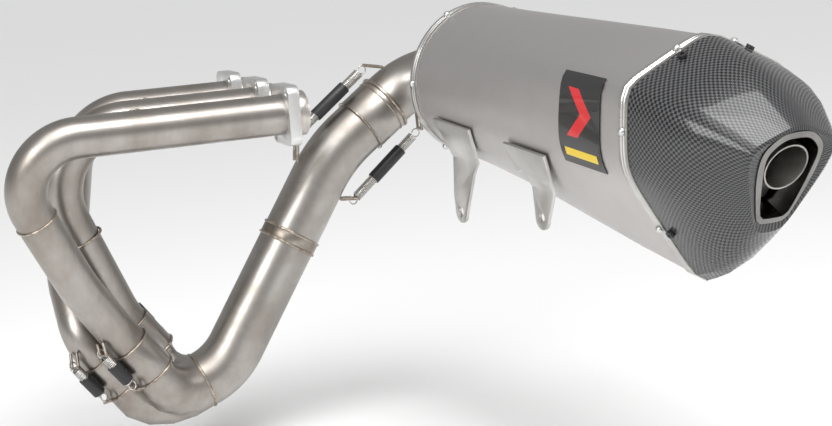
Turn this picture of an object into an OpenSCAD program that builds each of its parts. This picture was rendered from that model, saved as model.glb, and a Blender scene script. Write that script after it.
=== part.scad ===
// Three-into-one racing exhaust system: header, collector, link pipe and silencer.
// Origin: centre of the middle port, on the gasket face of its flange.
// +X runs out of the port into the engine, +Y along the row of ports, +Z up.

/* [Header] */
// Distance between neighbouring exhaust ports
port_pitch = 86; // [84:1:104]
// Outside diameter of the header tubes
header_od = 38; // [34:0.5:40]
// Wall of the header tubes
header_wall = 1.2; // [0.8:0.1:2]
// How far the near tube runs before its first bend's corner
near_reach = 280; // [270:5:320]
// How far the middle tube runs before its bend's corner
mid_reach = 235; // [230:5:270]
// How far the far tube runs before its bend's corner
far_reach = 165; // [160:5:200]
// Bend radius of the near tube's front bend
near_bend = 48; // [45:1:60]
// Bend radius of the middle and far tubes' front bends
front_bend = 65; // [50:1:70]
// Outside diameter of the balance tubes between the header tubes
balance_od = 22; // [16:0.5:26]
// How far behind the flanges the balance tubes sit
balance_back = 128; // [110:1:140]

/* [Port flanges] */
// Width of a flange plate along the port row
flange_width = 50; // [48:0.5:56]
// Height of a flange plate
flange_height = 56; // [56:0.5:64]
// Thickness of a flange plate
flange_thick = 11; // [8:0.5:14]
// Corner radius of a flange plate
flange_corner = 9; // [6:0.5:12]
// Circle through the two stud holes
stud_circle = 59; // [58.5:0.5:62]
// Angle of the stud pair from the port row
stud_angle = 49; // [46:1:54]
// Diameter of a stud hole
stud_hole = 8.5; // [6.5:0.1:9]
// Outside diameter of the spigot that enters the port
spigot_od = 42; // [41.5:0.5:43]
// How far the spigot stands out of the flange
spigot_length = 11; // [8:0.5:14]
// Radial running clearance between a flange and its tube
flange_play = 0.08; // [0.02:0.01:0.1]

/* [Collector] */
// Distance from the collector's axis to each of its three inlets
inlet_radius = 26; // [25.5:0.5:32]
// Wall of a slip sleeve
sleeve_wall = 1.4; // [1:0.1:2]
// Length of a slip sleeve
sleeve_length = 38; // [34:1:44]
// Radial running clearance in a slip sleeve
sleeve_play = 0.06; // [0.02:0.01:0.1]
// How deep a header tube sits in its sleeve
tube_engagement = 26; // [20:1:28]

/* [Link pipe] */
// Outside diameter of the link pipe
link_od = 56; // [48:0.5:58]
// Wall of the link pipe
link_wall = 1.5; // [1:0.1:2]
// Bend radius at the foot of the link pipe
link_bend = 70; // [64:1:76]
// Length of the link pipe from its foot bend to the upper bend's corner
link_rise = 236; // [200:2:250]
// Length of the joint ring part way up the link pipe
joint_ring_length = 11.5; // [10:0.5:16]
// How far up the straight the joint ring sits
joint_ring_at = 137; // [110:1:150]
// Length of the slip socket at the top of the link pipe
socket_length = 36; // [30:1:44]
// Wall of the slip socket
socket_wall = 1.4; // [1:0.1:2]
// Radial running clearance in the slip socket
socket_play = 0.06; // [0.02:0.01:0.1]

/* [Silencer] */
// Length of the outer sleeve between its two straps
body_length = 373; // [300:1:450]
// Radius of the round inlet end
inlet_end_radius = 72; // [66:1:78]
// Half of the outlet end's width
outlet_half_width = 76.5; // [72:0.5:84]
// Height of the outlet end's ridge above the axis
outlet_top = 90; // [84:1:100]
// Depth of the outlet end's keel below the axis
outlet_keel = 113; // [104:1:120]
// Thickness of the outer sleeve
skin = 1.2; // [0.8:0.1:2]
// Width of the riveted straps
strap_width = 13; // [10:0.5:16]
// Thickness of the straps
strap_thick = 1.2; // [0.8:0.1:2]
// Rise of the inlet cap from the strap to the inlet pipe
cap_rise = 30; // [24:1:36]
// Outside diameter of the perforated core
core_od = 54; // [46:0.5:58]
// Length of the end cap along the axis, at the outlet's centre
end_cap_length = 96; // [80:1:110]
// Tilt of the outlet face
outlet_tilt = 22; // [15:1:26]
// Wall of the carbon end cap
carbon_wall = 2; // [1.5:0.1:3]
// Outside radius of the outlet pipe
outlet_radius = 19.6; // [17:0.1:21]

/* [Hangers] */
// Width of a hanger bracket at its fold
hanger_width = 56; // [44:1:64]
// Thickness of a hanger bracket
hanger_thick = 3; // [2:0.1:4]
// Diameter of the hole in a hanger bracket
hanger_hole = 8.5; // [6.5:0.1:10]
// How far the front hanger hangs below the silencer's axis
front_drop = 126; // [110:1:140]
// How far the rear hanger hangs below the silencer's axis
rear_drop = 100; // [92:1:120]

/* [Springs] */
// Outside diameter of the spring coils
coil_od = 10.4; // [9:0.2:11]
// Wire of the springs
coil_wire = 1.7; // [1.4:0.1:2]
// Outside diameter of the rubber boots
boot_od = 12.8; // [12:0.2:13]
// Wire of the spring lugs
lug_wire = 3; // [2.4:0.1:3]

/* [Hidden] */
$fn = 48;

// Air left between parts that only lie against each other.
gap = 0.3;

// ---- directions and frames ----
function unit(v) = v / norm(v);
function heading(angle) = [cos(angle), 0, sin(angle)];
function frame(o, x, y, z) = [
    [x[0], y[0], z[0], o[0]],
    [x[1], y[1], z[1], o[1]],
    [x[2], y[2], z[2], o[2]],
    [0, 0, 0, 1]
];
function side_of(z, hint) = unit(cross(hint, unit(z)));
// Frame at o whose +Z is z.
function along(o, z) =
    let (k = unit(z), hint = abs(k[1]) > 0.9 ? [1, 0, 0] : [0, 1, 0], i = side_of(k, hint))
    frame(o, i, cross(k, i), k);

// Closed skin through a loop of rings, the last one joined back to the first.
steps = 60;
angles = [for (i = [0 : steps - 1]) i * 360 / steps];
module looped_rings(rings) {
    n = len(rings[0]);
    m = len(rings);
    polyhedron(
        points = [for (r = rings) for (p = r) p],
        faces = [for (j = [0 : m - 1]) for (i = [0 : n - 1])
            let (k = (i + 1) % n, l = (j + 1) % m)
            [j * n + i, j * n + k, l * n + k, l * n + i]],
        convexity = 6
    );
}

// ---- pipe runs: straights joined by round bends ----
function turn(p, i) = acos(unit(p[i] - p[i - 1]) * unit(p[i + 1] - p[i]));
function setback(p, r, i) = r[i - 1] * tan(turn(p, i) / 2);
function leaves(p, r, i) =
    i == 0 ? p[0] : p[i] + setback(p, r, i) * unit(p[i + 1] - p[i]);
function arrives(p, r, i) =
    i == len(p) - 1 ? p[i] : p[i] - setback(p, r, i) * unit(p[i] - p[i - 1]);

module ring_face(od, id) {
    difference() {
        circle(d = od);
        if (id > 0) circle(d = id);
    }
}

module straight(a, b, od, id) {
    multmatrix(along(a, b - a)) linear_extrude(norm(b - a)) ring_face(od, id);
}

// Bends are a hair thicker than straights, and straights run a little way into them.
bend_swell = 0.12;
bend_overlap = 0.5;

module bend(p, r, i, od, id) {
    u = unit(p[i] - p[i - 1]);
    w = unit(p[i + 1] - p[i]);
    inward = unit(w - (w * u) * u);
    centre = arrives(p, r, i) + r[i - 1] * inward;
    multmatrix(frame(centre, -inward, u, cross(-inward, u)))
        rotate_extrude(angle = turn(p, i))
            translate([r[i - 1], 0]) ring_face(od + bend_swell, id > 0 ? id - bend_swell : 0);
}

module pipe_run(p, r, od, id) {
    for (i = [0 : len(p) - 2]) {
        from = leaves(p, r, i);
        to = arrives(p, r, i + 1);
        way = bend_overlap * unit(p[i + 1] - p[i]);
        straight(i == 0 ? from : from - way, i == len(p) - 2 ? to : to + way, od, id);
    }
    for (i = [1 : 1 : len(p) - 2]) bend(p, r, i, od, id);
}

// ---- routes ----
// The slip sleeves all point the same way, so that the collector slides off in one move.
slip_way = [0.6, 0, -0.8];
across_way = [0.8, 0, 0.6];
// Middle of the three sleeve mouths.
inlets_at = [-161, 0, -215.5];
function inlet(turned) =
    inlets_at + inlet_radius * (cos(turned) * across_way + sin(turned) * [0, 1, 0]);
near_inlet = inlet(-81);
mid_inlet = inlet(39);
far_inlet = inlet(159);
header_id = header_od - 2 * header_wall;

near_route = [
    [spigot_length, -port_pitch, 0],
    [-near_reach, -port_pitch, 0],
    [-near_reach + 73, -port_pitch + 36, -143],
    near_inlet - 22 * slip_way,
    near_inlet + tube_engagement * slip_way
];
near_radii = [near_bend, 100, 80];
mid_route = [
    [spigot_length, 0, 0],
    [-mid_reach, 0, 0],
    mid_inlet - 16 * slip_way,
    mid_inlet + tube_engagement * slip_way
];
mid_radii = [front_bend, 90];
far_route = [
    [spigot_length, port_pitch, 0],
    [-far_reach, port_pitch, 0],
    [-far_reach - 33.5, port_pitch - 36, -150],
    far_inlet - 27 * slip_way,
    far_inlet + tube_engagement * slip_way
];
far_radii = [front_bend, 80, 47];

// ---- header ----
module header_tube(route, radii) {
    color("silver") pipe_run(route, radii, header_od, header_id);
}

ring_bore = header_od + 2 * 0.02;
shoulder_od = header_od + 7;
shoulder_length = 4;
flange_bore = header_od + 2 * flange_play;

// Spigot ring shrunk on the tube's end, behind the loose flange.
module port_ring(y) {
    color("darkgray")
        translate([0.2, y, 0]) rotate([0, 90, 0])
            linear_extrude(spigot_length - 0.2) ring_face(spigot_od, ring_bore);
}

module port_flange(y) {
    half_w = flange_width / 2 - flange_corner;
    half_h = flange_height / 2 - flange_corner;
    stud = stud_circle / 2 * [cos(stud_angle), sin(stud_angle)];
    color("gainsboro")
        translate([-flange_thick, y, 0]) rotate([90, 0, 90])
            difference() {
                linear_extrude(flange_thick) hull()
                    for (a = [-1, 1]) for (b = [-1, 1])
                        translate([a * half_w, b * half_h]) circle(flange_corner, $fn = 32);
                translate([0, 0, -1]) cylinder(h = flange_thick + 2, d = flange_bore);
                for (s = [-1, 1]) translate([s * stud[0], -s * stud[1], -1])
                    cylinder(h = flange_thick + 2, d = stud_hole);
            }
}

// A balance tube butts on the two header tubes it joins, cut to their round sides.
module balance_tube(x, y0, y1) {
    color("silver") difference() {
        translate([x, y0, 0]) rotate([-90, 0, 0])
            linear_extrude(y1 - y0) ring_face(balance_od, balance_od - 2 * header_wall);
        for (y = [y0, y1]) translate([x - balance_od, y, 0]) rotate([0, 90, 0])
            cylinder(h = 2 * balance_od, d = header_od);
    }
}

// ---- spring lugs and springs ----
hook_radius = 4.2;
loop_radius = 4.8;
// The lug's bar lies inside the hook, against its far side.
loop_beyond = hook_radius - coil_wire / 2 - lug_wire / 2 - 0.2;

module wire(a, b, d) {
    multmatrix(along(a, b - a)) cylinder(h = norm(b - a), d = d);
}

// Bent wire eye: its cross bar holds the hook, and its two legs are welded on at foot.
module lug(hook, away, foot, spread) {
    bar = hook + loop_beyond * away;
    half = loop_radius * spread;
    wire(bar - 1.3 * half, bar + 1.3 * half, lug_wire - 0.2);
    for (s = [-1, 1]) wire(bar + s * half - 1.5 * unit(foot - bar), foot + s * half, lug_wire);
}

// Hook-ended tension spring from hook centre a to hook centre b, its coils close wound.
module tension_spring(a, b, spread) {
    length = norm(b - a);
    way = unit(b - a);
    color("whitesmoke") multmatrix(frame(a, cross(spread, way), spread, way)) {
        translate([0, 0, hook_radius]) linear_extrude(length - 2 * hook_radius)
            ring_face(coil_od, coil_od - 2 * coil_wire);
        for (e = [0, 1]) translate([0, 0, e * length]) mirror([0, 0, e]) {
            rotate([90, 0, 0]) rotate([0, 0, 90 + 20])
                rotate_extrude(angle = 300) translate([hook_radius, 0]) circle(d = coil_wire);
            translate([-1, 0, hook_radius - 0.2]) rotate([0, 90, 0])
                cylinder(h = coil_od / 2 - 0.2, d = coil_wire + 0.4);
        }
    }
}

module rubber_boot(a, b, from, to) {
    way = unit(b - a);
    color("dimgray") straight(a + from * way, a + to * way, boot_od, coil_od + 0.4);
}

// Collector springs lie beside their sleeves, on the outside of the bundle.
spring_off = header_od / 2 + sleeve_play + sleeve_wall + boot_od / 2 + 1;
function beside(turned) = spring_off * (cos(turned) * across_way + sin(turned) * [0, 1, 0]);
near_lean = 208;
mid_lean = 55;
far_lean = 215;
hook_before = 16;
hook_after = 28;
function hook_up(at, lean) = at + beside(lean) - hook_before * slip_way;
function hook_down(at, lean) = at + beside(lean) + hook_after * slip_way;
function spread_of(lean) = sin(lean) * across_way - cos(lean) * [0, 1, 0];
boot_start = 11;
boot_end = hook_before + hook_after - 11;
lug_clear = 0.25;

// Height of each header lug's feet over a straight tube, where its own tube bends away.
near_foot_rise = 0.95;
mid_foot_rise = 0.85;
far_foot_rise = -3.5;

module header_lug(at, lean, rise) {
    foot = at + (header_od / 2 + lug_wire / 2 + rise) / spring_off * beside(lean);
    lug(hook_up(at, lean), -slip_way, foot - (hook_before + 12) * slip_way, spread_of(lean));
}

module collector_lug(at, lean) {
    foot = at + (sleeve_od / 2 + lug_wire / 2 + lug_clear) / spring_off * beside(lean);
    lug(hook_down(at, lean), slip_way, foot + (hook_after + 5) * slip_way, spread_of(lean));
}

// ---- collector ----
sleeve_id = header_od + 2 * sleeve_play;
sleeve_od = sleeve_id + 2 * sleeve_wall;
mouth_before = 4;

module inlet_sleeve(at) {
    color("silver") straight(at - mouth_before * slip_way,
        at + (sleeve_length - mouth_before) * slip_way, sleeve_od, sleeve_id);
}

// The merge sweeps from the sleeves' ends to this seam about a pivot above it.
seam_at = [-85, 0, -264];
seam_heading = 20;
rise_heading = 57.5;
slip_heading = 36;
pivot_radius = 52.5;
merge_pivot = seam_at + pivot_radius * heading(seam_heading + 90);
merge_wall = 2;

function sleeve_end(at) = at + (sleeve_length - mouth_before) * slip_way;
function corner(r, from, to) = r * tan((to - from) / 2);
// Radius, at a polar angle, of three circles of radius r grouped about the axis.
function lobe(gap_angle, pitch, r) =
    pitch * cos(gap_angle) + sqrt(max(r * r - pow(pitch * sin(gap_angle), 2), 0));
function lobes(angle, pitch, r) =
    max([for (c = [-81, 39, 159]) let (g = abs(((angle - c + 540) % 360) - 180))
        lobe(min(g, 60), pitch, r)]);
// Ring at a turn about the pivot: [turn, distance from pivot, pitch radius, tube radius].
function merge_ring(s, out) =
    let (up = [cos(s[0]), 0, sin(s[0])], c = merge_pivot - s[1] * up)
    [for (a = angles) let (r = lobes(a, s[2], s[3]) + out)
        c + r * (cos(a) * up + sin(a) * [0, 1, 0])];
sleeves_turn = 36.87;
sleeves_end_at = inlets_at + (sleeve_length - mouth_before) * slip_way;
sleeves_from_pivot = (merge_pivot - sleeves_end_at) * across_way;
sleeve_r = header_od / 2 + sleeve_play + sleeve_wall;
merge_stations = [
    [sleeves_turn, sleeves_from_pivot, inlet_radius, sleeve_r],
    [52, 50.5, 25, 21.5], [66, 52.5, 19, 24], [80, 53, 11, 26.5], [95, 52.5, 4, 28],
    [seam_heading + 90, pivot_radius, 0, link_od / 2]
];

module merge_collector() {
    color("silver") looped_rings(concat(
        [for (s = merge_stations) merge_ring(s, 0)],
        [for (j = [5 : -1 : 0]) merge_ring(merge_stations[j], -merge_wall)]
    ));
}

// ---- link pipe ----
link_id = link_od - 2 * link_wall;
seam_land = 3;
rise_corner = seam_at
    + (seam_land + corner(link_bend, seam_heading, rise_heading)) * heading(seam_heading);
top_corner = rise_corner + link_rise * heading(rise_heading);
ring_low = rise_corner + joint_ring_at * heading(rise_heading);
ring_high = ring_low + joint_ring_length * heading(rise_heading);
upper_bend = 150;
socket_start = top_corner + 41 * heading(slip_heading);
socket_end = socket_start + socket_length * heading(slip_heading);
bend_seat = 8;
link_top = socket_end - (bend_seat + 3) * heading(slip_heading);

module link_pipe_lower() {
    color("silver") pipe_run([seam_at, rise_corner, ring_low], [link_bend], link_od, link_id);
}

module link_joint_ring() {
    color("tan") straight(ring_low, ring_high, link_od + 1.6, link_id);
}

module link_pipe_upper() {
    color("silver") pipe_run([ring_high, top_corner, link_top], [upper_bend], link_od, link_id);
}

// ---- slip socket and inlet bend ----
socket_id = link_od + 2 * socket_play;
socket_od = socket_id + 2 * socket_wall;
silencer_at = [191, -90, 15];
silencer_droop = 4.5;
silencer_splay = 3.5;
silencer_way = [
    sin(silencer_splay) * cos(silencer_droop),
    -cos(silencer_splay) * cos(silencer_droop),
    -sin(silencer_droop)
];
inlet_bend_radius = 55;
inlet_route = [
    socket_end - bend_seat * heading(slip_heading),
    socket_end + 31 * heading(slip_heading),
    silencer_at - 55 * silencer_way,
    silencer_at - (cap_rise - 4) * silencer_way
];

module slip_socket() {
    color("silver") straight(socket_start, socket_end, socket_od, socket_id);
}

module inlet_bend() {
    color("silver") pipe_run(inlet_route, [inlet_bend_radius, inlet_bend_radius], link_od, link_id);
}

// Silencer springs span the slip joint, above and below the pipe.
function link_point(along_by, out) =
    top_corner + along_by * heading(rise_heading) + out * heading(rise_heading + 90);
function slip_point(along_by, out) =
    socket_end + along_by * heading(slip_heading) + out * heading(slip_heading + 90);
upper_hooks = [link_point(3, 41), slip_point(7, 42)];
lower_hooks = [link_point(-26, -46), slip_point(10, -46)];
silencer_boot_from = 25;
silencer_boot_to = 67;
weld_out = link_od / 2 + lug_wire / 2 + 0.2;

module span_lug(hooks, near, foot) {
    lug(hooks[near], unit(hooks[near] - hooks[1 - near]), foot, [0, 1, 0]);
}

module link_spring_lugs() {
    color("silver") {
        span_lug(upper_hooks, 0, link_point(-22, weld_out));
        span_lug(lower_hooks, 0, link_point(-36, -weld_out));
    }
}

module inlet_spring_lugs() {
    color("silver") {
        span_lug(upper_hooks, 1, slip_point(20, weld_out + 0.6));
        span_lug(lower_hooks, 1, slip_point(22, -weld_out - 0.6));
    }
}

// ---- silencer body ----
// Inside the silencer's frame, -Y runs from inlet to outlet and Z is its upright.
module in_silencer() {
    translate(silencer_at) rotate([silencer_droop, 0, silencer_splay]) children();
}

// A rounded polygon by its flats: each flat is [direction, distance from the axis].
function flat_radius(flats, angle, sharp) =
    pow([for (f = flats) pow(max(cos(angle - f[0]), 0) / f[1], sharp)]
        * [for (f = flats) 1], -1 / sharp);

ridge_slope = 25.6;
keel_slope = 34.6;
ridge_flat = outlet_top * cos(ridge_slope);
keel_flat = outlet_half_width * 0.905;
outlet_flats = [
    [90 - ridge_slope, ridge_flat], [90 + ridge_slope, ridge_flat],
    [0, outlet_half_width], [180, outlet_half_width],
    [-keel_slope, keel_flat], [180 + keel_slope, keel_flat], [270, outlet_keel]
];
// How far the section has gone from round to faceted at a distance down the body.
function shape_share(v) =
    let (k = min(max(v / body_length, 0), 1)) 0.65 * k + 0.35 * k * k * (3 - 2 * k);
function body_radius(v, angle) = let (k = shape_share(v))
    inlet_end_radius * (1 - k) + flat_radius(outlet_flats, angle, 18) * k;

function body_ring(v, out) =
    [for (a = angles) let (r = body_radius(v, a) + out) [r * cos(a), -v, r * sin(a)]];

body_stations = concat([0, strap_width], [for (j = [1 : 4]) j * body_length / 5],
    [body_length - strap_width, body_length]);

module outer_sleeve() {
    color("lightgray") in_silencer() looped_rings(concat(
        [for (v = body_stations) body_ring(v, 0)],
        [for (j = [7 : -1 : 0]) body_ring(body_stations[j], -skin)]
    ));
}

// The straps are pressed with two shallow grooves between their rivets.
module strap(v0) {
    lands = [0, 0.28, 0.36, 0.44, 0.56, 0.64, 0.72, 1];
    rises = [1, 1, 0.4, 1, 1, 0.4, 1, 1];
    color("silver") in_silencer() looped_rings(concat(
        [for (j = [0 : 7]) body_ring(v0 + lands[j] * strap_width, gap / 2 + rises[j] * strap_thick)],
        [body_ring(v0 + strap_width, gap / 2), body_ring(v0, gap / 2)]
    ));
}

strap_inset = 1;
outlet_strap_at = body_length - strap_width + strap_inset;

module inlet_cap() {
    r = inlet_end_radius - skin - gap;
    sheet = 1.5;
    lip = 8;
    color("silver") in_silencer() rotate([-90, 0, 0]) rotate_extrude() polygon([
        [r - sheet, -lip], [r, -lip], [r, 1], [r - 6, 7],
        [link_od / 2 + 7, cap_rise - 8], [link_od / 2 + sheet + 0.02, cap_rise - 4],
        [link_od / 2 + sheet + 0.02, cap_rise],
        [link_od / 2 + 0.02, cap_rise], [link_od / 2 + 0.02, cap_rise - 5],
        [link_od / 2 + 6, cap_rise - 9.5], [r - 7, 5.5], [r - sheet, 0.5]
    ]);
}

core_wall = 1.5;
core_start = -(cap_rise - 6);
core_end = body_length - 16;
hole_rows = 10;

module perforated_core() {
    color("darkgray") in_silencer() difference() {
        rotate([90, 0, 0]) translate([0, 0, core_start + 2]) linear_extrude(core_end - core_start - 2)
            ring_face(core_od, core_od - 2 * core_wall);
        for (j = [0 : hole_rows - 1]) for (k = [0 : 2])
            translate([0, -(30 + j * (body_length - 70) / hole_rows), 0])
                rotate([0, 60 * k + 30 * (j % 2), 0]) cylinder(h = core_od + 4, d = 6, center = true);
    }
}

module packing() {
    color("khaki") in_silencer() rotate([90, 0, 0]) translate([0, 0, 6])
        linear_extrude(core_end - 12) ring_face(2 * (keel_flat - 6), core_od + 2 * gap);
}

plate_at = core_end + gap;
plate_thick = 2;
function bore_ring(v, r) = [for (a = angles) [r * cos(a), -v, r * sin(a)]];

module end_plate() {
    // The outlet pipe leaves on a slope, so its hole in the plate is roomy.
    bore = outlet_radius + 1.2;
    color("silver") in_silencer() looped_rings([
        body_ring(plate_at, -skin - gap), body_ring(plate_at + plate_thick, -skin - gap),
        bore_ring(plate_at + plate_thick, bore), bore_ring(plate_at, bore)
    ]);
}

// ---- outlet end ----
lip_flats = [
    [90, 40], [63.4, 37], [116.6, 37], [0, 42], [180, 42],
    [-24.3, 37.7], [204.3, 37.7], [270, 60.6]
];
trim_flats = [
    [90, 28.1], [45, 28.5], [135, 28.5], [0, 25.3], [180, 25.3],
    [-14.4, 23.8], [194.4, 23.8], [270, 44.8]
];
function tilted(x, z, depth) = [
    x,
    -(body_length + end_cap_length + depth * cos(outlet_tilt) + z * sin(outlet_tilt)),
    z * cos(outlet_tilt) - depth * sin(outlet_tilt)
];
function face_ring(flats, out, depth) =
    [for (a = angles) let (r = flat_radius(flats, a, 12) + out)
        tilted(r * cos(a), r * sin(a), depth)];
function mix(a, b, k) = [for (i = [0 : steps - 1]) a[i] * (1 - k) + b[i] * k];
function shoulder_ring(k, bulge, out) =
    let (a = body_ring(body_length + gap, out), b = face_ring(lip_flats, out, 0),
        m = mix(a, b, k))
    [for (i = [0 : steps - 1])
        let (push = bulge * unit([m[i][0], 0, m[i][2]])) m[i] + push];

module carbon_end_cap() {
    shoulders = [[0.18, 5], [0.4, 9], [0.62, 9], [0.84, 4.5]];
    color("dimgray") in_silencer() looped_rings(concat(
        [body_ring(body_length + strap_inset + gap, 0.4)],
        [for (s = shoulders) shoulder_ring(s[0], s[1], 0)],
        [face_ring(lip_flats, 0, 0), face_ring(lip_flats, -3, 1.5)],
        [face_ring(trim_flats, 3.5, 0), face_ring(trim_flats, 3.5, -8)],
        [for (j = [3 : -1 : 0]) shoulder_ring(shoulders[j][0], shoulders[j][1], -carbon_wall)],
        [body_ring(body_length + strap_inset + gap, -carbon_wall)]
    ));
}

module outlet_trim() {
    color("silver") in_silencer() looped_rings([
        face_ring(trim_flats, -0.6, 1.8), face_ring(trim_flats, 4.3, 1.2),
        face_ring(trim_flats, 4.3, 0.6), face_ring(trim_flats, 1, 0.6),
        face_ring(trim_flats, 0, -34), face_ring(trim_flats, -1.5, -34)
    ]);
}

module outlet_pipe() {
    mouth = tilted(0, 0, -1);
    elbow = tilted(0, 0, -42);
    route = [[0, -core_end, 0], elbow, mouth];
    color("silver") in_silencer()
        pipe_run(route, [50], 2 * outlet_radius, 2 * (outlet_radius - 1.3));
}

// Folded web that closes the trim below the outlet pipe.
module outlet_web() {
    web_z = -outlet_radius - 3;
    drop = 18;
    half = 14;
    color("gray") in_silencer() multmatrix(frame(tilted(0, 0, -22), [1, 0, 0],
        [0, -sin(outlet_tilt), cos(outlet_tilt)], [0, -cos(outlet_tilt), -sin(outlet_tilt)]))
        linear_extrude(1.5) polygon([
            [-half, web_z], [half, web_z], [half - 7, web_z - drop], [-half + 7, web_z - drop]
        ]);
}

// ---- fasteners ----
module on_body(v, angle, out) {
    function at(a) = body_radius(v, a) * [cos(a), 0, sin(a)] - [0, v, 0];
    edge = at(angle + 0.5) - at(angle - 0.5);
    facing = atan2(edge[2], edge[0]) - 90;
    in_silencer() translate(at(angle)) rotate([0, 90 - facing, 0]) translate([0, 0, out])
        children();
}

// Domed head of a blind rivet.
module rivet() {
    difference() {
        sphere(r = 3.4);
        translate([0, 0, -5]) cube(10, center = true);
    }
}

module cap_bolt() {
    difference() {
        cylinder(h = 3.2, d = 7);
        translate([0, 0, 1.4]) cylinder(h = 3, d = 3.6, $fn = 6);
    }
}

strap_out = gap / 2 + strap_thick;
inlet_rivet_angles = [118, 178, 238, 298, 358, 58];
outlet_rivet_angles = [109, 166, 237, 303, 14, 71];
// Each cap screw: [angle round the body, lean with the cap's slope, height over the sleeve].
cap_screws = [[113, 11.7, -0.6], [238, 4.4, 0.4], [302, 4.4, 0.4], [67, 11.7, -0.6]];

module inlet_rivets() {
    color("silver") for (a = inlet_rivet_angles)
        on_body(strap_inset + strap_width / 2 - 2, a, strap_out + 0.1) rivet();
}

module outlet_rivets() {
    color("silver") for (a = outlet_rivet_angles)
        on_body(outlet_strap_at + strap_width / 2, a, strap_out + 0.3) rivet();
}

module cap_bolts() {
    color("black") for (b = cap_screws)
        on_body(body_length + strap_inset + 7, b[0], b[2]) rotate([b[1], 0, 0]) cap_bolt();
}

// ---- hangers and badge ----
// End view of a bracket: welded edge, slope down the body, fold, hanging leg.
leg_at = -50;
function hanger_section(bottom) = let (t = hanger_thick) [
    [-69.5 - t, -25], [-54 - t, -54.3], [leg_at - t / 2, -64], [leg_at - t / 2, bottom],
    [leg_at + t / 2, bottom], [leg_at + t / 2, -62.5], [-54, -53], [-69.5, -24]
];
tip_radius = 11;
function tip_arc(v, w) =
    [for (a = [0 : 15 : 180]) [v + tip_radius * cos(a), w - tip_radius * sin(a)]];

// Side view of a bracket: from its welded edge down to the rounded tip about its hole.
module hanger(weld_from, fold_from, hole_v, drop) {
    hole_w = tip_radius - drop;
    half = hanger_width / 2;
    color("silver") in_silencer() difference() {
        intersection() {
            translate([0, -weld_from, 0]) rotate([90, 0, 0])
                linear_extrude(2 * hanger_width) polygon(hanger_section(-drop));
            translate([-90, 0, 0]) rotate([90, 0, 90]) linear_extrude(60)
                scale([-1, 1]) polygon(concat(
                    [[weld_from, -20], [fold_from, -53]],
                    [[hole_v - tip_radius - 8, hole_w + 40]],
                    [for (k = [12 : -1 : 0]) tip_arc(hole_v, hole_w)[k]],
                    [[hole_v + tip_radius + 14, hole_w + 40]],
                    [[fold_from + hanger_width, -53], [weld_from + hanger_width + 14, -20]]
                ));
        }
        translate([leg_at - hanger_thick, -hole_v, hole_w]) rotate([0, 90, 0])
            cylinder(h = 2 * hanger_thick, d = hanger_hole);
    }
}

// Thin plate bowed to the body's flank.
badge_start = 272;
badge_length = 62;
badge_low = 198;
badge_high = 142;
badge_steps = 14;
badge_lift = 0.35;
badge_thick = 0.6;

module badge_plate() {
    function edge(v, k, out) =
        let (a = badge_low + (badge_high - badge_low) * k / badge_steps,
            r = body_radius(v, a) + out)
        [r * cos(a), -v, r * sin(a)];
    function section(v) = concat(
        [for (k = [0 : badge_steps]) edge(v, k, badge_lift + badge_thick)],
        [for (k = [badge_steps : -1 : 0]) edge(v, k, badge_lift)]
    );
    n = 2 * badge_steps + 2;
    ends = [badge_start, body_stations[5], badge_start + badge_length];
    color("black") in_silencer() polyhedron(
        points = [for (v = ends) each section(v)],
        faces = concat(
            [[for (i = [0 : n - 1]) n - 1 - i]],
            [for (j = [0, n]) for (i = [0 : n - 1]) let (k = (i + 1) % n)
                [j + i, j + k, j + n + k, j + n + i]],
            [[for (i = [0 : n - 1]) 2 * n + i]]
        )
    );
}

header_tube(near_route, near_radii);  // header_tube_near
header_tube(mid_route, mid_radii);  // header_tube_mid
header_tube(far_route, far_radii);  // header_tube_far
port_ring(-port_pitch);  // port_ring_near
port_ring(0);  // port_ring_mid
port_ring(port_pitch);  // port_ring_far
port_flange(-port_pitch);  // port_flange_near
port_flange(0);  // port_flange_mid
port_flange(port_pitch);  // port_flange_far
balance_tube(-balance_back - 3, -port_pitch, 0);  // balance_tube_front
balance_tube(-balance_back + 28, 0, port_pitch);  // balance_tube_rear
color("silver") {  // header_spring_lugs
    header_lug(near_inlet, near_lean, near_foot_rise);
    header_lug(mid_inlet, mid_lean, mid_foot_rise);
    header_lug(far_inlet, far_lean, far_foot_rise);
}
inlet_sleeve(near_inlet);  // inlet_sleeve_near
inlet_sleeve(mid_inlet);  // inlet_sleeve_mid
inlet_sleeve(far_inlet);  // inlet_sleeve_far
merge_collector();
color("silver") {  // collector_spring_lugs
    collector_lug(near_inlet, near_lean);
    collector_lug(mid_inlet, mid_lean);
    collector_lug(far_inlet, far_lean);
}
tension_spring(hook_up(near_inlet, near_lean), hook_down(near_inlet, near_lean),  // collector_spring_near
        spread_of(near_lean));
tension_spring(hook_up(mid_inlet, mid_lean), hook_down(mid_inlet, mid_lean),  // collector_spring_mid
        spread_of(mid_lean));
tension_spring(hook_up(far_inlet, far_lean), hook_down(far_inlet, far_lean),  // collector_spring_far
        spread_of(far_lean));
rubber_boot(hook_up(near_inlet, near_lean), hook_down(near_inlet, near_lean),  // collector_boot_near
        boot_start, boot_end);
rubber_boot(hook_up(mid_inlet, mid_lean), hook_down(mid_inlet, mid_lean),  // collector_boot_mid
        boot_start, boot_end);
rubber_boot(hook_up(far_inlet, far_lean), hook_down(far_inlet, far_lean),  // collector_boot_far
        boot_start, boot_end);
link_pipe_lower();
link_joint_ring();
link_pipe_upper();
link_spring_lugs();
slip_socket();
inlet_bend();
inlet_spring_lugs();
tension_spring(upper_hooks[0], upper_hooks[1], [0, 1, 0]);  // silencer_spring_upper
tension_spring(lower_hooks[0], lower_hooks[1], [0, 1, 0]);  // silencer_spring_lower
rubber_boot(upper_hooks[0], upper_hooks[1], silencer_boot_from, silencer_boot_to);  // silencer_boot_upper
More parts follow.
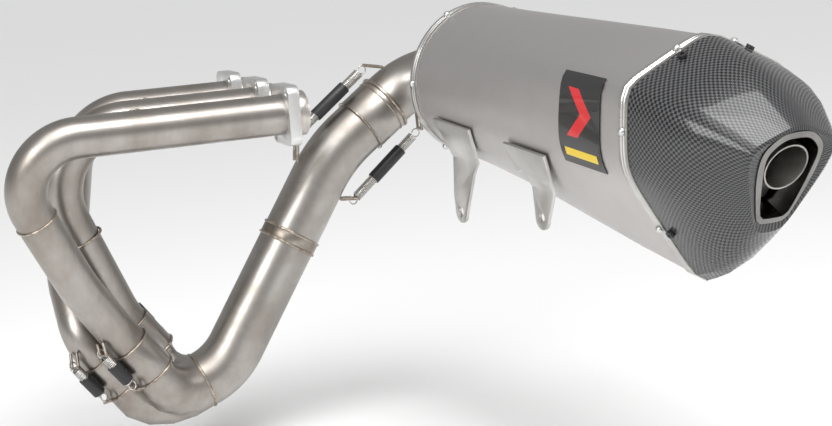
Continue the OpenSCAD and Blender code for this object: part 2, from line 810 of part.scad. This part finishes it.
rubber_boot(lower_hooks[0], lower_hooks[1], silencer_boot_from, silencer_boot_to);  // silencer_boot_lower
inlet_cap();
perforated_core();
packing();
outer_sleeve();
strap(0);  // inlet_strap
strap(outlet_strap_at);  // outlet_strap
inlet_rivets();
outlet_rivets();
end_plate();
carbon_end_cap();
outlet_trim();
outlet_pipe();
outlet_web();
cap_bolts();
hanger(43, 40, 57, front_drop);  // hanger_front
hanger(173, 173, 204, rear_drop);  // hanger_rear
badge_plate();
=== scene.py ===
import math

import bpy
from mathutils import Matrix, Vector


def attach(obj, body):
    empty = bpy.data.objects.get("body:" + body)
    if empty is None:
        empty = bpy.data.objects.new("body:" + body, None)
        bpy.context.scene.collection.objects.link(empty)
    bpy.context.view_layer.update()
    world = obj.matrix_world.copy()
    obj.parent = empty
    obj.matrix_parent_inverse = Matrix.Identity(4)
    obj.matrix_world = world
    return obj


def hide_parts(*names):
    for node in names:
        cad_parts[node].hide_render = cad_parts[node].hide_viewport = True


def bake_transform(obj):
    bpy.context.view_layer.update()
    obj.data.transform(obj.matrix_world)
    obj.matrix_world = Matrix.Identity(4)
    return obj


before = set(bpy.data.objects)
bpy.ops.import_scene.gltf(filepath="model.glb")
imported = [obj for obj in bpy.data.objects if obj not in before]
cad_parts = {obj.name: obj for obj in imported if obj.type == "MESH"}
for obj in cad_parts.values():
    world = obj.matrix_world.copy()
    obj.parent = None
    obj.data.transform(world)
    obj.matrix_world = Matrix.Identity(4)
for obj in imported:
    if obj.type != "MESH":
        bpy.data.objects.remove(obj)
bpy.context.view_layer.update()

# --- Header tubes -------------------------------------------------------------
# Three mandrel-bent titanium tubes and the two short balance tubes welded between
# them. The metal is brushed along the bends and tanned by heat near the collector.


def values_group(name, inputs, outputs):
    """An empty shader node group with its sockets, ready for its nodes."""
    group = bpy.data.node_groups.new(name, "ShaderNodeTree")
    for label, kind, default in inputs:
        socket = group.interface.new_socket(label, in_out="INPUT", socket_type=kind)
        if default is not None:
            socket.default_value = default
    for label, kind in outputs:
        group.interface.new_socket(label, in_out="OUTPUT", socket_type=kind)
    start = group.nodes.new("NodeGroupInput")
    end = group.nodes.new("NodeGroupOutput")
    return group, start, end


def noise(group, vector, scale, detail=3.0, roughness=0.55):
    """A noise texture in a node tree; its scale is a number or a socket."""
    node = group.nodes.new("ShaderNodeTexNoise")
    node.inputs["Detail"].default_value = detail
    node.inputs["Roughness"].default_value = roughness
    if isinstance(scale, (int, float)):
        node.inputs["Scale"].default_value = scale
    else:
        group.links.new(scale, node.inputs["Scale"])
    group.links.new(vector, node.inputs["Vector"])
    return node.outputs["Fac"]


def spread(group, value, low, high, to_low=0.0, to_high=1.0):
    """Maps a value from one range to another and clamps it."""
    node = group.nodes.new("ShaderNodeMapRange")
    node.inputs["From Min"].default_value = low
    node.inputs["From Max"].default_value = high
    node.inputs["To Min"].default_value = to_low
    node.inputs["To Max"].default_value = to_high
    group.links.new(value, node.inputs["Value"])
    return node.outputs["Result"]


# Worn metal: a fine grain for the bump, and broad uneven patches.
worn_metal, start, end = values_group(
    "worn metal",
    [("Vector", "NodeSocketVector", None), ("Grain", "NodeSocketFloat", 900.0),
     ("Patches", "NodeSocketFloat", 14.0)],
    [("Grain", "NodeSocketFloat"), ("Patches", "NodeSocketFloat")],
)
grain = noise(worn_metal, start.outputs["Vector"], start.outputs["Grain"], 2.0)
patches = noise(worn_metal, start.outputs["Vector"], start.outputs["Patches"], 5.0, 0.65)
worn_metal.links.new(grain, end.inputs["Grain"])
worn_metal.links.new(spread(worn_metal, patches, 0.36, 0.66), end.inputs["Patches"])


def metal(name, clean, tinted, rough, rougher, grain_scale, patch_scale, bump,
          stretch=(1, 1, 1)):
    """A worn metal whose colour and roughness drift between two values."""
    material = bpy.data.materials.new(name)
    material.use_nodes = True
    tree = material.node_tree
    shader = tree.nodes["Principled BSDF"]
    shader.inputs["Metallic"].default_value = 1.0
    place = tree.nodes.new("ShaderNodeTexCoord")
    mapping = tree.nodes.new("ShaderNodeMapping")
    mapping.inputs["Scale"].default_value = stretch
    wear = tree.nodes.new("ShaderNodeGroup")
    wear.node_tree = worn_metal
    wear.inputs["Grain"].default_value = grain_scale
    wear.inputs["Patches"].default_value = patch_scale
    tree.links.new(place.outputs["Object"], mapping.inputs["Vector"])
    tree.links.new(mapping.outputs["Vector"], wear.inputs["Vector"])
    colour = tree.nodes.new("ShaderNodeMix")
    colour.data_type = "RGBA"
    colour.inputs["A"].default_value = (*clean, 1)
    colour.inputs["B"].default_value = (*tinted, 1)
    tree.links.new(wear.outputs["Patches"], colour.inputs["Factor"])
    tree.links.new(colour.outputs["Result"], shader.inputs["Base Color"])
    tree.links.new(spread(tree, wear.outputs["Patches"], 0, 1, rough, rougher), shader.inputs["Roughness"])
    relief = tree.nodes.new("ShaderNodeBump")
    relief.inputs["Strength"].default_value = bump
    relief.inputs["Distance"].default_value = 0.0003
    tree.links.new(wear.outputs["Grain"], relief.inputs["Height"])
    tree.links.new(relief.outputs["Normal"], shader.inputs["Normal"])
    return material


def only(obj):
    """Selects one object and makes it active."""
    bpy.ops.object.select_all(action="DESELECT")
    obj.select_set(True)
    bpy.context.view_layer.objects.active = obj


def finished_copy(node, material, body, edge=0.0, smooth=32.0, stretched=None):
    """A merged, smoothed copy of a node's shape with its edges rounded off."""
    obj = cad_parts[node].copy()
    obj.data = obj.data.copy()
    obj.name = f"finished_{node}"
    bpy.context.collection.objects.link(obj)
    obj.parent = None
    only(obj)
    bpy.ops.mesh.customdata_custom_splitnormals_clear()
    bpy.ops.object.mode_set(mode="EDIT")
    bpy.ops.mesh.select_all(action="SELECT")
    bpy.ops.mesh.remove_doubles(threshold=0.000005)
    if edge:
        bpy.ops.mesh.dissolve_limited(angle_limit=math.radians(0.5))
    bpy.ops.object.mode_set(mode="OBJECT")
    if edge:
        rounding = obj.modifiers.new("edges", "BEVEL")
        rounding.width = edge
        rounding.segments = 2
        rounding.limit_method = "ANGLE"
        rounding.angle_limit = math.radians(50)
        bpy.ops.object.modifier_apply(modifier=rounding.name)
    bpy.ops.object.shade_smooth_by_angle(angle=math.radians(smooth))
    obj.data.materials.clear()
    obj.data.materials.append(material)
    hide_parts(node)
    if stretched:
        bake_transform(obj)
    else:
        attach(obj, body)
    return obj


def dress(obj, material):
    """Gives a shown node its finish."""
    obj.data.materials.clear()
    obj.data.materials.append(material)


titanium_tube = metal(
    "header titanium", (0.42, 0.395, 0.37), (0.27, 0.24, 0.21), 0.30, 0.40, 1400, 14, 0.16, (1, 1, 0.45))
for which in ("near", "mid", "far"):
    finished_copy(f"header_tube_{which}", titanium_tube, "headers", smooth=40)
for which in ("front", "rear"):
    finished_copy(f"balance_tube_{which}", titanium_tube, "headers", smooth=40)

# --- Weld beads ---------------------------------------------------------------
# Fine machine-laid beads where tubes are joined: raised, rippled, and stained
# straw and brown by the heat of welding.

weld_metal = metal("weld bead", (0.50, 0.45, 0.39), (0.24, 0.19, 0.15), 0.26, 0.42, 700, 160, 0.5)
bead_width = 0.0024


def weld_bead(name, centre, direction, radius, body, width=bead_width):
    """A rippled ring laid round a tube."""
    bpy.ops.object.select_all(action="DESELECT")
    bpy.ops.mesh.primitive_torus_add(
        major_segments=144, minor_segments=8, major_radius=radius, minor_radius=width / 2)
    ring = bpy.context.object
    ring.name = name
    bpy.ops.object.mode_set(mode="EDIT")
    bpy.ops.mesh.select_all(action="DESELECT")
    bpy.ops.object.mode_set(mode="OBJECT")
    for face in ring.data.polygons:
        turn = math.degrees(math.atan2(face.center.y, face.center.x)) % 5
        face.select = turn < 2.5 and face.center.xy.length > radius
    bpy.ops.object.mode_set(mode="EDIT")
    bpy.ops.transform.shrink_fatten(value=width * 0.09)
    bpy.ops.object.mode_set(mode="OBJECT")
    turn = Vector((0, 0, 1)).rotation_difference(Vector(direction)).to_matrix().to_4x4()
    ring.matrix_world = Matrix.Translation(centre) @ turn
    only(ring)
    bpy.ops.object.transform_apply(location=True, rotation=True, scale=True)
    bpy.ops.object.shade_smooth_by_angle(angle=math.radians(60))
    ring.data.materials.append(weld_metal)
    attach(ring, body)
    return ring


tube_radius = 0.019
# A balance tube's bead sits where its own wall meets the round side of a header tube.
bead_reach = 0.82 * tube_radius
for which, y, x in (("front", -0.086, -0.131), ("front_foot", 0.0, -0.131),
                    ("rear", 0.0, -0.1), ("rear_foot", 0.086, -0.1)):
    inward = bead_reach if y < 0 or which == "rear" else -bead_reach
    weld_bead(f"balance_tube_bead_{which}", (x, y + inward, 0), (0, 1, 0), 0.0114, "headers", 0.002)
weld_bead("near_tube_joint_bead", (-0.2426, -0.0677, -0.0733), (0.444, 0.219, -0.869),
          tube_radius, "headers")
weld_bead("mid_tube_joint_bead", (-0.1870, 0.0088, -0.1090), (0.42, 0.071, -0.905), tube_radius, "headers")

# --- Port flanges and spigot rings --------------------------------------------
# Loose aluminium plates milled with rounded corners, which turn on the tubes until
# two studs clamp them, and the turned rings that stand into the ports.

milled_alloy = metal("milled flange", (0.80, 0.80, 0.79), (0.68, 0.68, 0.67), 0.34, 0.46, 1100, 30, 0.25)
turned_ring = metal("turned ring", (0.66, 0.64, 0.61), (0.50, 0.46, 0.42), 0.28, 0.4, 900, 40, 0.2, (8, 1, 1))
for which in ("near", "mid", "far"):
    finished_copy(f"port_flange_{which}", milled_alloy, f"flange_{which}", 0.0007)
    finished_copy(f"port_ring_{which}", turned_ring, "headers", 0.0005)

# --- Collector ----------------------------------------------------------------
# Three slip sleeves run into a hand-formed merge that gathers them into the link
# pipe. Made of welded titanium sheet, with valleys where the branches meet.

collector_metal = metal(
    "collector titanium", (0.40, 0.375, 0.35), (0.26, 0.225, 0.195), 0.30, 0.42, 1300, 20, 0.16)
slip_way = Vector((0.6, 0, -0.8))
across_way = Vector((0.8, 0, 0.6))
inlets_middle = Vector((-0.161, 0, -0.2155))
inlet_spacing = 0.026
inlet_turns = {"near": -81, "mid": 39, "far": 159}
sleeve_radius = 0.0204
sleeve_mouth = 0.0035
sleeve_end = 0.034


def inlet(which):
    """Centre of a sleeve's mouth."""
    turn = math.radians(inlet_turns[which])
    outward = math.cos(turn) * across_way + math.sin(turn) * Vector((0, 1, 0))
    return inlets_middle + inlet_spacing * outward


finished_copy("merge_collector", collector_metal, "collector", smooth=28)
for which in ("near", "mid", "far"):
    finished_copy(f"inlet_sleeve_{which}", collector_metal, "collector", 0.0004)
    weld_bead(f"sleeve_bead_{which}", inlet(which) + sleeve_end * slip_way, slip_way,
              sleeve_radius, "collector")
    weld_bead(f"sleeve_lip_{which}", inlet(which) - sleeve_mouth * slip_way, slip_way,
              sleeve_radius, "collector", 0.0016)

# --- Link pipe and slip joint -------------------------------------------------
# A brushed 56 mm titanium pipe in two lengths, joined by a raised ring, which slips
# into a socket on the silencer's inlet bend.

link_metal = metal("link titanium", (0.44, 0.42, 0.395), (0.31, 0.28, 0.25), 0.30, 0.40, 1500, 15, 0.16)
ring_metal = metal("joint ring", (0.38, 0.35, 0.31), (0.24, 0.20, 0.165), 0.28, 0.4, 900, 70, 0.3)
for node, body in (("link_pipe_lower", "collector"), ("link_pipe_upper", "collector"),
                   ("inlet_bend", "silencer")):
    finished_copy(node, link_metal, body, smooth=40)
finished_copy("slip_socket", link_metal, "silencer", 0.0005)
finished_copy("link_joint_ring", ring_metal, "collector", 0.0008)

rise = math.radians(57.5)
rise_way = Vector((math.cos(rise), 0, math.sin(rise)))
slip = math.radians(36)
top_way = Vector((math.cos(slip), 0, math.sin(slip)))
seam = Vector((-0.085, 0, -0.264))
seam_turn = math.radians(20)
seam_way = Vector((math.cos(seam_turn), 0, math.sin(seam_turn)))
link_radius = 0.028
rise_corner = seam + (0.003 + 0.07 * math.tan((rise - seam_turn) / 2)) * seam_way
top_corner = rise_corner + 0.236 * rise_way
ring_low = rise_corner + 0.137 * rise_way
socket_start = top_corner + 0.041 * top_way
socket_end = socket_start + 0.036 * top_way
weld_bead("link_ring_lower_bead", ring_low, rise_way, link_radius + 0.0006, "collector")
weld_bead("link_ring_upper_bead", ring_low + 0.0115 * rise_way, rise_way, link_radius + 0.0006, "collector")
weld_bead("merge_bead", seam, seam_way, link_radius, "collector")
weld_bead("socket_lip", socket_start + 0.001 * top_way, top_way, link_radius + 0.0014, "silencer", 0.002)
weld_bead("socket_bead", socket_end, top_way, link_radius + 0.0012, "silencer", 0.0034)
weld_bead("socket_ring", socket_end - 0.006 * top_way, top_way, link_radius + 0.0014, "silencer", 0.0016)

# --- Spring lugs --------------------------------------------------------------
# Short wire eyes bent in a U and welded on by both legs, for the springs' hooks.

lug_metal = metal("lug wire", (0.46, 0.42, 0.37), (0.26, 0.21, 0.17), 0.32, 0.5, 800, 180, 0.3)
for node, body in (("header_spring_lugs", "headers"), ("collector_spring_lugs", "collector"),
                   ("link_spring_lugs", "collector"), ("inlet_spring_lugs", "silencer")):
    finished_copy(node, lug_metal, body, 0.0003)

# --- Springs and their boots --------------------------------------------------
# Tension springs wound from bright wire with a hook at each end. A rubber boot
# over the coils of each one keeps it from ringing.

spring_wire = metal("spring wire", (0.70, 0.69, 0.67), (0.48, 0.46, 0.43), 0.22, 0.34, 900, 300, 0.1)
boot_rubber = bpy.data.materials.new("boot rubber")
boot_rubber.use_nodes = True
rubber_tree = boot_rubber.node_tree
rubber = rubber_tree.nodes["Principled BSDF"]
rubber.inputs["Base Color"].default_value = (0.018, 0.018, 0.020, 1)
rubber_place = rubber_tree.nodes.new("ShaderNodeTexCoord")
rubber_grain = noise(rubber_tree, rubber_place.outputs["Object"], 500.0, 3.0)
rubber_tree.links.new(spread(rubber_tree, rubber_grain, 0.3, 0.7, 0.36, 0.52), rubber.inputs["Roughness"])
rubber_relief = rubber_tree.nodes.new("ShaderNodeBump")
rubber_relief.inputs["Strength"].default_value = 0.15
rubber_relief.inputs["Distance"].default_value = 0.0004
rubber_tree.links.new(rubber_grain, rubber_relief.inputs["Height"])
rubber_tree.links.new(rubber_relief.outputs["Normal"], rubber.inputs["Normal"])

wire = 0.0015
coil_radius = 0.0044
hook_radius = 0.0040


def bent_wire(radius, angle, turns, rise_per_turn, steps):
    """Round wire swept about the vertical axis: a coil, or part of a ring."""
    bpy.ops.object.select_all(action="DESELECT")
    bpy.ops.mesh.primitive_circle_add(
        vertices=8, radius=wire / 2, location=(radius, 0, 0), rotation=(math.pi / 2, 0, 0))
    obj = bpy.context.object
    bpy.ops.object.transform_apply(location=True, rotation=True, scale=True)
    sweep = obj.modifiers.new("sweep", "SCREW")
    sweep.angle = angle
    sweep.iterations = turns
    sweep.screw_offset = rise_per_turn
    sweep.steps = steps
    sweep.render_steps = steps
    bpy.ops.object.modifier_apply(modifier=sweep.name)
    return obj


def tension_spring(name, low, high, facing, node, bodies):
    """Close-wound spring between two hook centres, its hooks turned to face a lug."""
    length = (high - low).length
    wound = length - 2 * hook_radius - wire
    turns = int(wound / (wire * 1.12))
    coil = bent_wire(coil_radius, math.tau, turns, wound / turns, 14)
    coil.matrix_world = Matrix.Translation((0, 0, hook_radius + wire / 2))
    parts = [coil]
    for upper in (False, True):
        hook = bent_wire(hook_radius, math.radians(285), 1, 0.0, 22)
        stand = Matrix.Rotation(math.pi / 2, 4, "X") @ Matrix.Rotation(math.radians(118), 4, "Z")
        flip = Matrix.Rotation(math.pi, 4, "Y") if upper else Matrix.Identity(4)
        hook.matrix_world = Matrix.Translation((0, 0, length if upper else 0)) @ flip @ stand
        parts.append(hook)
    only(coil)
    for part in parts:
        part.select_set(True)
    bpy.ops.object.join()
    way = (high - low).normalized()
    side = facing.cross(way).normalized()
    coil.matrix_world = Matrix.Translation(low) @ Matrix((side, way.cross(side), way)).transposed().to_4x4()
    bpy.ops.object.transform_apply(location=True, rotation=True, scale=True)
    bpy.ops.object.mode_set(mode="EDIT")
    bpy.ops.mesh.select_all(action="SELECT")
    bpy.ops.mesh.normals_make_consistent(inside=False)
    bpy.ops.object.mode_set(mode="OBJECT")
    bpy.ops.object.shade_smooth()
    coil.name = name
    coil.data.materials.append(spring_wire)
    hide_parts(node)
    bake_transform(coil)


spring_offset = 0.02786
hooks_before = 0.016
hooks_after = 0.028
for which, lean in (("near", 208), ("mid", 55), ("far", 215)):
    lean = math.radians(lean)
    outward = math.cos(lean) * across_way + math.sin(lean) * Vector((0, 1, 0))
    tangent = math.sin(lean) * across_way - math.cos(lean) * Vector((0, 1, 0))
    beside = inlet(which) + spring_offset * outward
    hooks = (beside - hooks_before * slip_way, beside + hooks_after * slip_way)
    tension_spring(f"coil_collector_{which}", *hooks, tangent, f"collector_spring_{which}",
                   ("headers", "collector"))
    finished_copy(f"collector_boot_{which}", boot_rubber, "headers", 0.0006,
                  stretched=("headers", "collector", *hooks))

left_of_rise = Vector((-rise_way.z, 0, rise_way.x))
left_of_top = Vector((-top_way.z, 0, top_way.x))
upper_hooks = (top_corner + 0.003 * rise_way + 0.041 * left_of_rise,
               socket_end + 0.007 * top_way + 0.042 * left_of_top)
lower_hooks = (top_corner - 0.026 * rise_way - 0.046 * left_of_rise,
               socket_end + 0.010 * top_way - 0.046 * left_of_top)
for which, hooks in (("upper", upper_hooks), ("lower", lower_hooks)):
    tension_spring(f"coil_silencer_{which}", *hooks, Vector((0, 1, 0)), f"silencer_spring_{which}",
                   ("collector", "silencer"))
    finished_copy(f"silencer_boot_{which}", boot_rubber, "collector", 0.0008,
                  stretched=("collector", "silencer", *hooks))

# --- Silencer shell -----------------------------------------------------------
# A tapered sleeve of bead-blasted titanium sheet that goes from a round inlet cap
# to a faceted outlet, held at both ends by riveted pressed straps.

blasted = metal("blasted titanium", (0.60, 0.58, 0.57), (0.55, 0.53, 0.52), 0.42, 0.48, 2600, 6, 0.14)
strap_metal = metal("strap", (0.60, 0.59, 0.57), (0.50, 0.49, 0.47), 0.27, 0.36, 1400, 24, 0.12)
finished_copy("outer_sleeve", blasted, "silencer", smooth=30)
finished_copy("inlet_cap", blasted, "silencer", 0.0006)
for node in ("inlet_strap", "outlet_strap"):
    finished_copy(node, strap_metal, "silencer", smooth=24)
rivet_metal = metal("rivet", (0.68, 0.68, 0.67), (0.55, 0.55, 0.54), 0.3, 0.4, 900, 200, 0.1)
for node in ("inlet_rivets", "outlet_rivets"):
    finished_copy(node, rivet_metal, "silencer")

# --- Silencer inside ----------------------------------------------------------
# A perforated core wrapped in glass wool and held by a pressed end plate.

sooty = metal("core steel", (0.36, 0.35, 0.33), (0.20, 0.19, 0.18), 0.45, 0.6, 900, 60, 0.3)
for node in ("perforated_core", "end_plate"):
    dress(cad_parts[node], sooty)
wool = bpy.data.materials.new("glass wool")
wool.use_nodes = True
wool_tree = wool.node_tree
wool_shader = wool_tree.nodes["Principled BSDF"]
wool_shader.inputs["Roughness"].default_value = 0.95
wool_place = wool_tree.nodes.new("ShaderNodeTexCoord")
strands = noise(wool_tree, wool_place.outputs["Object"], 260.0, 6.0, 0.7)
wool_colour = wool_tree.nodes.new("ShaderNodeMix")
wool_colour.data_type = "RGBA"
wool_colour.inputs["A"].default_value = (0.62, 0.56, 0.40, 1)
wool_colour.inputs["B"].default_value = (0.88, 0.85, 0.74, 1)
wool_tree.links.new(strands, wool_colour.inputs["Factor"])
wool_tree.links.new(wool_colour.outputs["Result"], wool_shader.inputs["Base Color"])
dress(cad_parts["packing"], wool)

# --- Carbon end cap -----------------------------------------------------------
# Moulded in plain-woven carbon fibre under clear lacquer, screwed on behind the
# outlet strap with black button-head screws.

splay = math.radians(3.5)
droop = math.radians(4.5)
silencer_turn = Matrix.Rotation(splay, 4, "Z") @ Matrix.Rotation(droop, 4, "X")
silencer_place = Matrix.Translation((0.191, -0.090, 0.015)) @ silencer_turn
silencer_angles = silencer_place.inverted().to_euler("XYZ")
silencer_shift = silencer_place.inverted().to_translation()


def arithmetic(tree, operation, first, second=None):
    """One Math node; its inputs are sockets or numbers."""
    node = tree.nodes.new("ShaderNodeMath")
    node.operation = operation
    for socket, value in zip(node.inputs, (first, second)):
        if isinstance(value, (int, float)):
            socket.default_value = value
        elif value is not None:
            tree.links.new(value, socket)
    return node.outputs[0]


carbon = bpy.data.materials.new("carbon weave")
carbon.use_nodes = True
carbon_tree = carbon.node_tree
lacquer = carbon_tree.nodes["Principled BSDF"]
lacquer.inputs["Coat Weight"].default_value = 0.5
lacquer.inputs["Specular IOR Level"].default_value = 0.25
lacquer.inputs["Coat Roughness"].default_value = 0.06
carbon_place = carbon_tree.nodes.new("ShaderNodeTexCoord")
carbon_mapping = carbon_tree.nodes.new("ShaderNodeMapping")
carbon_mapping.inputs["Location"].default_value = silencer_shift
carbon_mapping.inputs["Rotation"].default_value = silencer_angles
carbon_axes = carbon_tree.nodes.new("ShaderNodeSeparateXYZ")
carbon_tree.links.new(carbon_place.outputs["Object"], carbon_mapping.inputs["Vector"])
carbon_tree.links.new(carbon_mapping.outputs["Vector"], carbon_axes.inputs["Vector"])
tow = 0.0022
round_it = arithmetic(carbon_tree, "ARCTAN2", carbon_axes.outputs["Z"], carbon_axes.outputs["X"])
cap_radius = 0.072
across_tows = arithmetic(carbon_tree, "MULTIPLY", round_it, cap_radius / tow)
along_tows = arithmetic(carbon_tree, "DIVIDE", carbon_axes.outputs["Y"], tow)
column = arithmetic(carbon_tree, "FLOOR", across_tows)
row = arithmetic(carbon_tree, "FLOOR", along_tows)
step = arithmetic(carbon_tree, "ADD", column, row)
every_other = arithmetic(carbon_tree, "FLOORED_MODULO", step, 2.0)
over = arithmetic(carbon_tree, "LESS_THAN", every_other, 1.0)
bow_across = arithmetic(carbon_tree, "PINGPONG", across_tows, 0.5)
bow_along = arithmetic(carbon_tree, "PINGPONG", along_tows, 0.5)
bow = carbon_tree.nodes.new("ShaderNodeMix")
carbon_tree.links.new(over, bow.inputs["Factor"])
carbon_tree.links.new(bow_across, bow.inputs["A"])
carbon_tree.links.new(bow_along, bow.inputs["B"])
carbon_colour = carbon_tree.nodes.new("ShaderNodeMix")
carbon_colour.data_type = "RGBA"
carbon_colour.inputs["A"].default_value = (0.004, 0.004, 0.0045, 1)
carbon_colour.inputs["B"].default_value = (0.085, 0.085, 0.088, 1)
carbon_tree.links.new(over, carbon_colour.inputs["Factor"])
carbon_tree.links.new(carbon_colour.outputs["Result"], lacquer.inputs["Base Color"])
carbon_tree.links.new(spread(carbon_tree, over, 0, 1, 0.34, 0.22), lacquer.inputs["Roughness"])
carbon_relief = carbon_tree.nodes.new("ShaderNodeBump")
carbon_relief.inputs["Strength"].default_value = 0.35
carbon_relief.inputs["Distance"].default_value = 0.0004
carbon_tree.links.new(bow.outputs["Result"], carbon_relief.inputs["Height"])
carbon_tree.links.new(carbon_relief.outputs["Normal"], lacquer.inputs["Normal"])
finished_copy("carbon_end_cap", carbon, "silencer", smooth=22)

bolt_black = bpy.data.materials.new("black screw")
bolt_black.use_nodes = True
bolt_tree = bolt_black.node_tree
bolt_shader = bolt_tree.nodes["Principled BSDF"]
bolt_shader.inputs["Base Color"].default_value = (0.02, 0.02, 0.022, 1)
bolt_place = bolt_tree.nodes.new("ShaderNodeTexCoord")
bolt_wear = noise(bolt_tree, bolt_place.outputs["Object"], 900.0)
bolt_tree.links.new(spread(bolt_tree, bolt_wear, 0.3, 0.7, 0.28, 0.5), bolt_shader.inputs["Roughness"])
finished_copy("cap_bolts", bolt_black, "silencer", 0.0003)

# --- Outlet -------------------------------------------------------------------
# A bent outlet pipe seen through a deep egg-shaped trim, with a folded web below.

outlet_metal = metal("outlet titanium", (0.42, 0.41, 0.39), (0.30, 0.29, 0.275), 0.28, 0.42, 1300, 40, 0.15)
trim_metal = metal("outlet trim", (0.26, 0.255, 0.245), (0.20, 0.195, 0.19), 0.22, 0.3, 1300, 40, 0.1)
finished_copy("outlet_trim", trim_metal, "silencer", smooth=30)
finished_copy("outlet_pipe", outlet_metal, "silencer", 0.0004)
finished_copy("outlet_web", outlet_metal, "silencer", 0.0004)

# --- Hangers and badge --------------------------------------------------------
# Two folded titanium brackets welded to the sleeve's lower flank, and a thin plate
# printed with a plain generic chevron and bar, bonded beside the outlet strap.

hanger_metal = metal("hanger", (0.62, 0.61, 0.59), (0.54, 0.53, 0.51), 0.3, 0.38, 1500, 30, 0.15)
for node in ("hanger_front", "hanger_rear"):
    finished_copy(node, hanger_metal, "silencer", 0.0005)

badge = bpy.data.materials.new("badge print")
badge.use_nodes = True
badge_tree = badge.node_tree
badge_shader = badge_tree.nodes["Principled BSDF"]
badge_shader.inputs["Coat Weight"].default_value = 0.6
badge_shader.inputs["Roughness"].default_value = 0.35
badge_place = badge_tree.nodes.new("ShaderNodeTexCoord")
badge_mapping = badge_tree.nodes.new("ShaderNodeMapping")
badge_mapping.inputs["Location"].default_value = silencer_shift
badge_mapping.inputs["Rotation"].default_value = silencer_angles
badge_axes = badge_tree.nodes.new("ShaderNodeSeparateXYZ")
badge_tree.links.new(badge_place.outputs["Object"], badge_mapping.inputs["Vector"])
badge_tree.links.new(badge_mapping.outputs["Vector"], badge_axes.inputs["Vector"])
badge_middle = -0.303
badge_level = 0.022
half_height = 0.020
from_middle = arithmetic(badge_tree, "SUBTRACT", badge_axes.outputs["Z"], badge_level)
off_level = arithmetic(badge_tree, "ABSOLUTE", from_middle)
along_plate = arithmetic(badge_tree, "SUBTRACT", badge_axes.outputs["Y"], badge_middle)
slant = arithmetic(badge_tree, "SUBTRACT", along_plate, off_level)
on_stroke = arithmetic(badge_tree, "COMPARE", slant, -0.010)
on_stroke.node.inputs[2].default_value = 0.008
in_height = arithmetic(badge_tree, "LESS_THAN", off_level, half_height)
chevron = arithmetic(badge_tree, "MULTIPLY", on_stroke, in_height)
on_bar = arithmetic(badge_tree, "COMPARE", from_middle, -0.034)
on_bar.node.inputs[2].default_value = 0.0035
in_width = arithmetic(badge_tree, "LESS_THAN", arithmetic(badge_tree, "ABSOLUTE", along_plate), 0.024)
bar = arithmetic(badge_tree, "MULTIPLY", on_bar, in_width)
layer = (0.008, 0.008, 0.008, 1)
for mask, ink in ((chevron, (0.60, 0.008, 0.012, 1)), (bar, (0.78, 0.56, 0.02, 1))):
    print_layer = badge_tree.nodes.new("ShaderNodeMix")
    print_layer.data_type = "RGBA"
    badge_tree.links.new(mask, print_layer.inputs["Factor"])
    if isinstance(layer, tuple):
        print_layer.inputs["A"].default_value = layer
    else:
        badge_tree.links.new(layer, print_layer.inputs["A"])
    print_layer.inputs["B"].default_value = ink
    layer = print_layer.outputs["Result"]
badge_tree.links.new(layer, badge_shader.inputs["Base Color"])
finished_copy("badge_plate", badge, "silencer", smooth=30)

# --- Floor, light and camera --------------------------------------------------
# A pale studio floor under soft lights from above and from both sides, with an even
# room lamp that keeps the whole floor pale.

floor_level = -0.34
bpy.ops.object.select_all(action="DESELECT")
bpy.ops.mesh.primitive_plane_add(size=30, location=(0, 0, floor_level))
floor = bpy.context.object
floor.name = "floor"
floor_paint = bpy.data.materials.new("pale floor")
floor_paint.use_nodes = True
floor_shader = floor_paint.node_tree.nodes["Principled BSDF"]
floor_shader.inputs["Base Color"].default_value = (0.93, 0.93, 0.93, 1)
floor_shader.inputs["Roughness"].default_value = 0.9
floor.data.materials.append(floor_paint)

world = bpy.data.worlds.new("studio")
world.use_nodes = True
world.node_tree.nodes["Background"].inputs["Color"].default_value = (1, 1, 1, 1)
world.node_tree.nodes["Background"].inputs["Strength"].default_value = 0.42
bpy.context.scene.world = world
bpy.context.scene.view_settings.view_transform = "Standard"


def lamp(name, place, aim, size, power):
    """A square softbox that points at a place."""
    light = bpy.data.lights.new(name, "AREA")
    light.size = size
    light.energy = power
    obj = bpy.data.objects.new(name, light)
    bpy.context.collection.objects.link(obj)
    obj.location = place
    obj.rotation_euler = (Vector(aim) - Vector(place)).to_track_quat("-Z", "Y").to_euler()
    return obj


middle = Vector((0.1, -0.2, -0.1))
overhead = lamp("overhead softbox", (0.1, -1.0, 1.6), middle, 1.0, 18)
left_box = lamp("left softbox", (-1.5, -1.0, 0.7), middle, 0.8, 13)
right_box = lamp("right softbox", (1.9, -1.3, 0.9), middle, 0.8, 8)

sky_lamp = bpy.data.lights.new("room lamp", "SUN")
sky_lamp.energy = 1.35
sky_lamp.angle = math.radians(50)
room_lamp = bpy.data.objects.new("room lamp", sky_lamp)
bpy.context.collection.objects.link(room_lamp)
room_lamp.rotation_euler = (math.radians(35), 0, math.radians(-25))

view_turn = math.radians(-22.94)
view_rise = math.radians(10.42)
view_roll = math.radians(-3.65)
view_target = Vector((0.1234, -0.0760, -0.1124))
view_distance = 1.7
back = Vector((math.sin(view_turn) * math.cos(view_rise), -math.cos(view_turn) * math.cos(view_rise),
               math.sin(view_rise)))
right = Vector((math.cos(view_turn), math.sin(view_turn), 0))
up = back.cross(right)
camera_right = math.cos(view_roll) * right + math.sin(view_roll) * up
camera_up = -math.sin(view_roll) * right + math.cos(view_roll) * up
lens = bpy.data.cameras.new("camera")
lens.lens = 75.2
lens.sensor_width = 36
lens.clip_start = 0.05
camera = bpy.data.objects.new("camera", lens)
bpy.context.collection.objects.link(camera)
turn = Matrix((camera_right, camera_up, back)).transposed().to_4x4()
camera.matrix_world = Matrix.Translation(view_target + view_distance * back) @ turn
bpy.context.scene.camera = camera
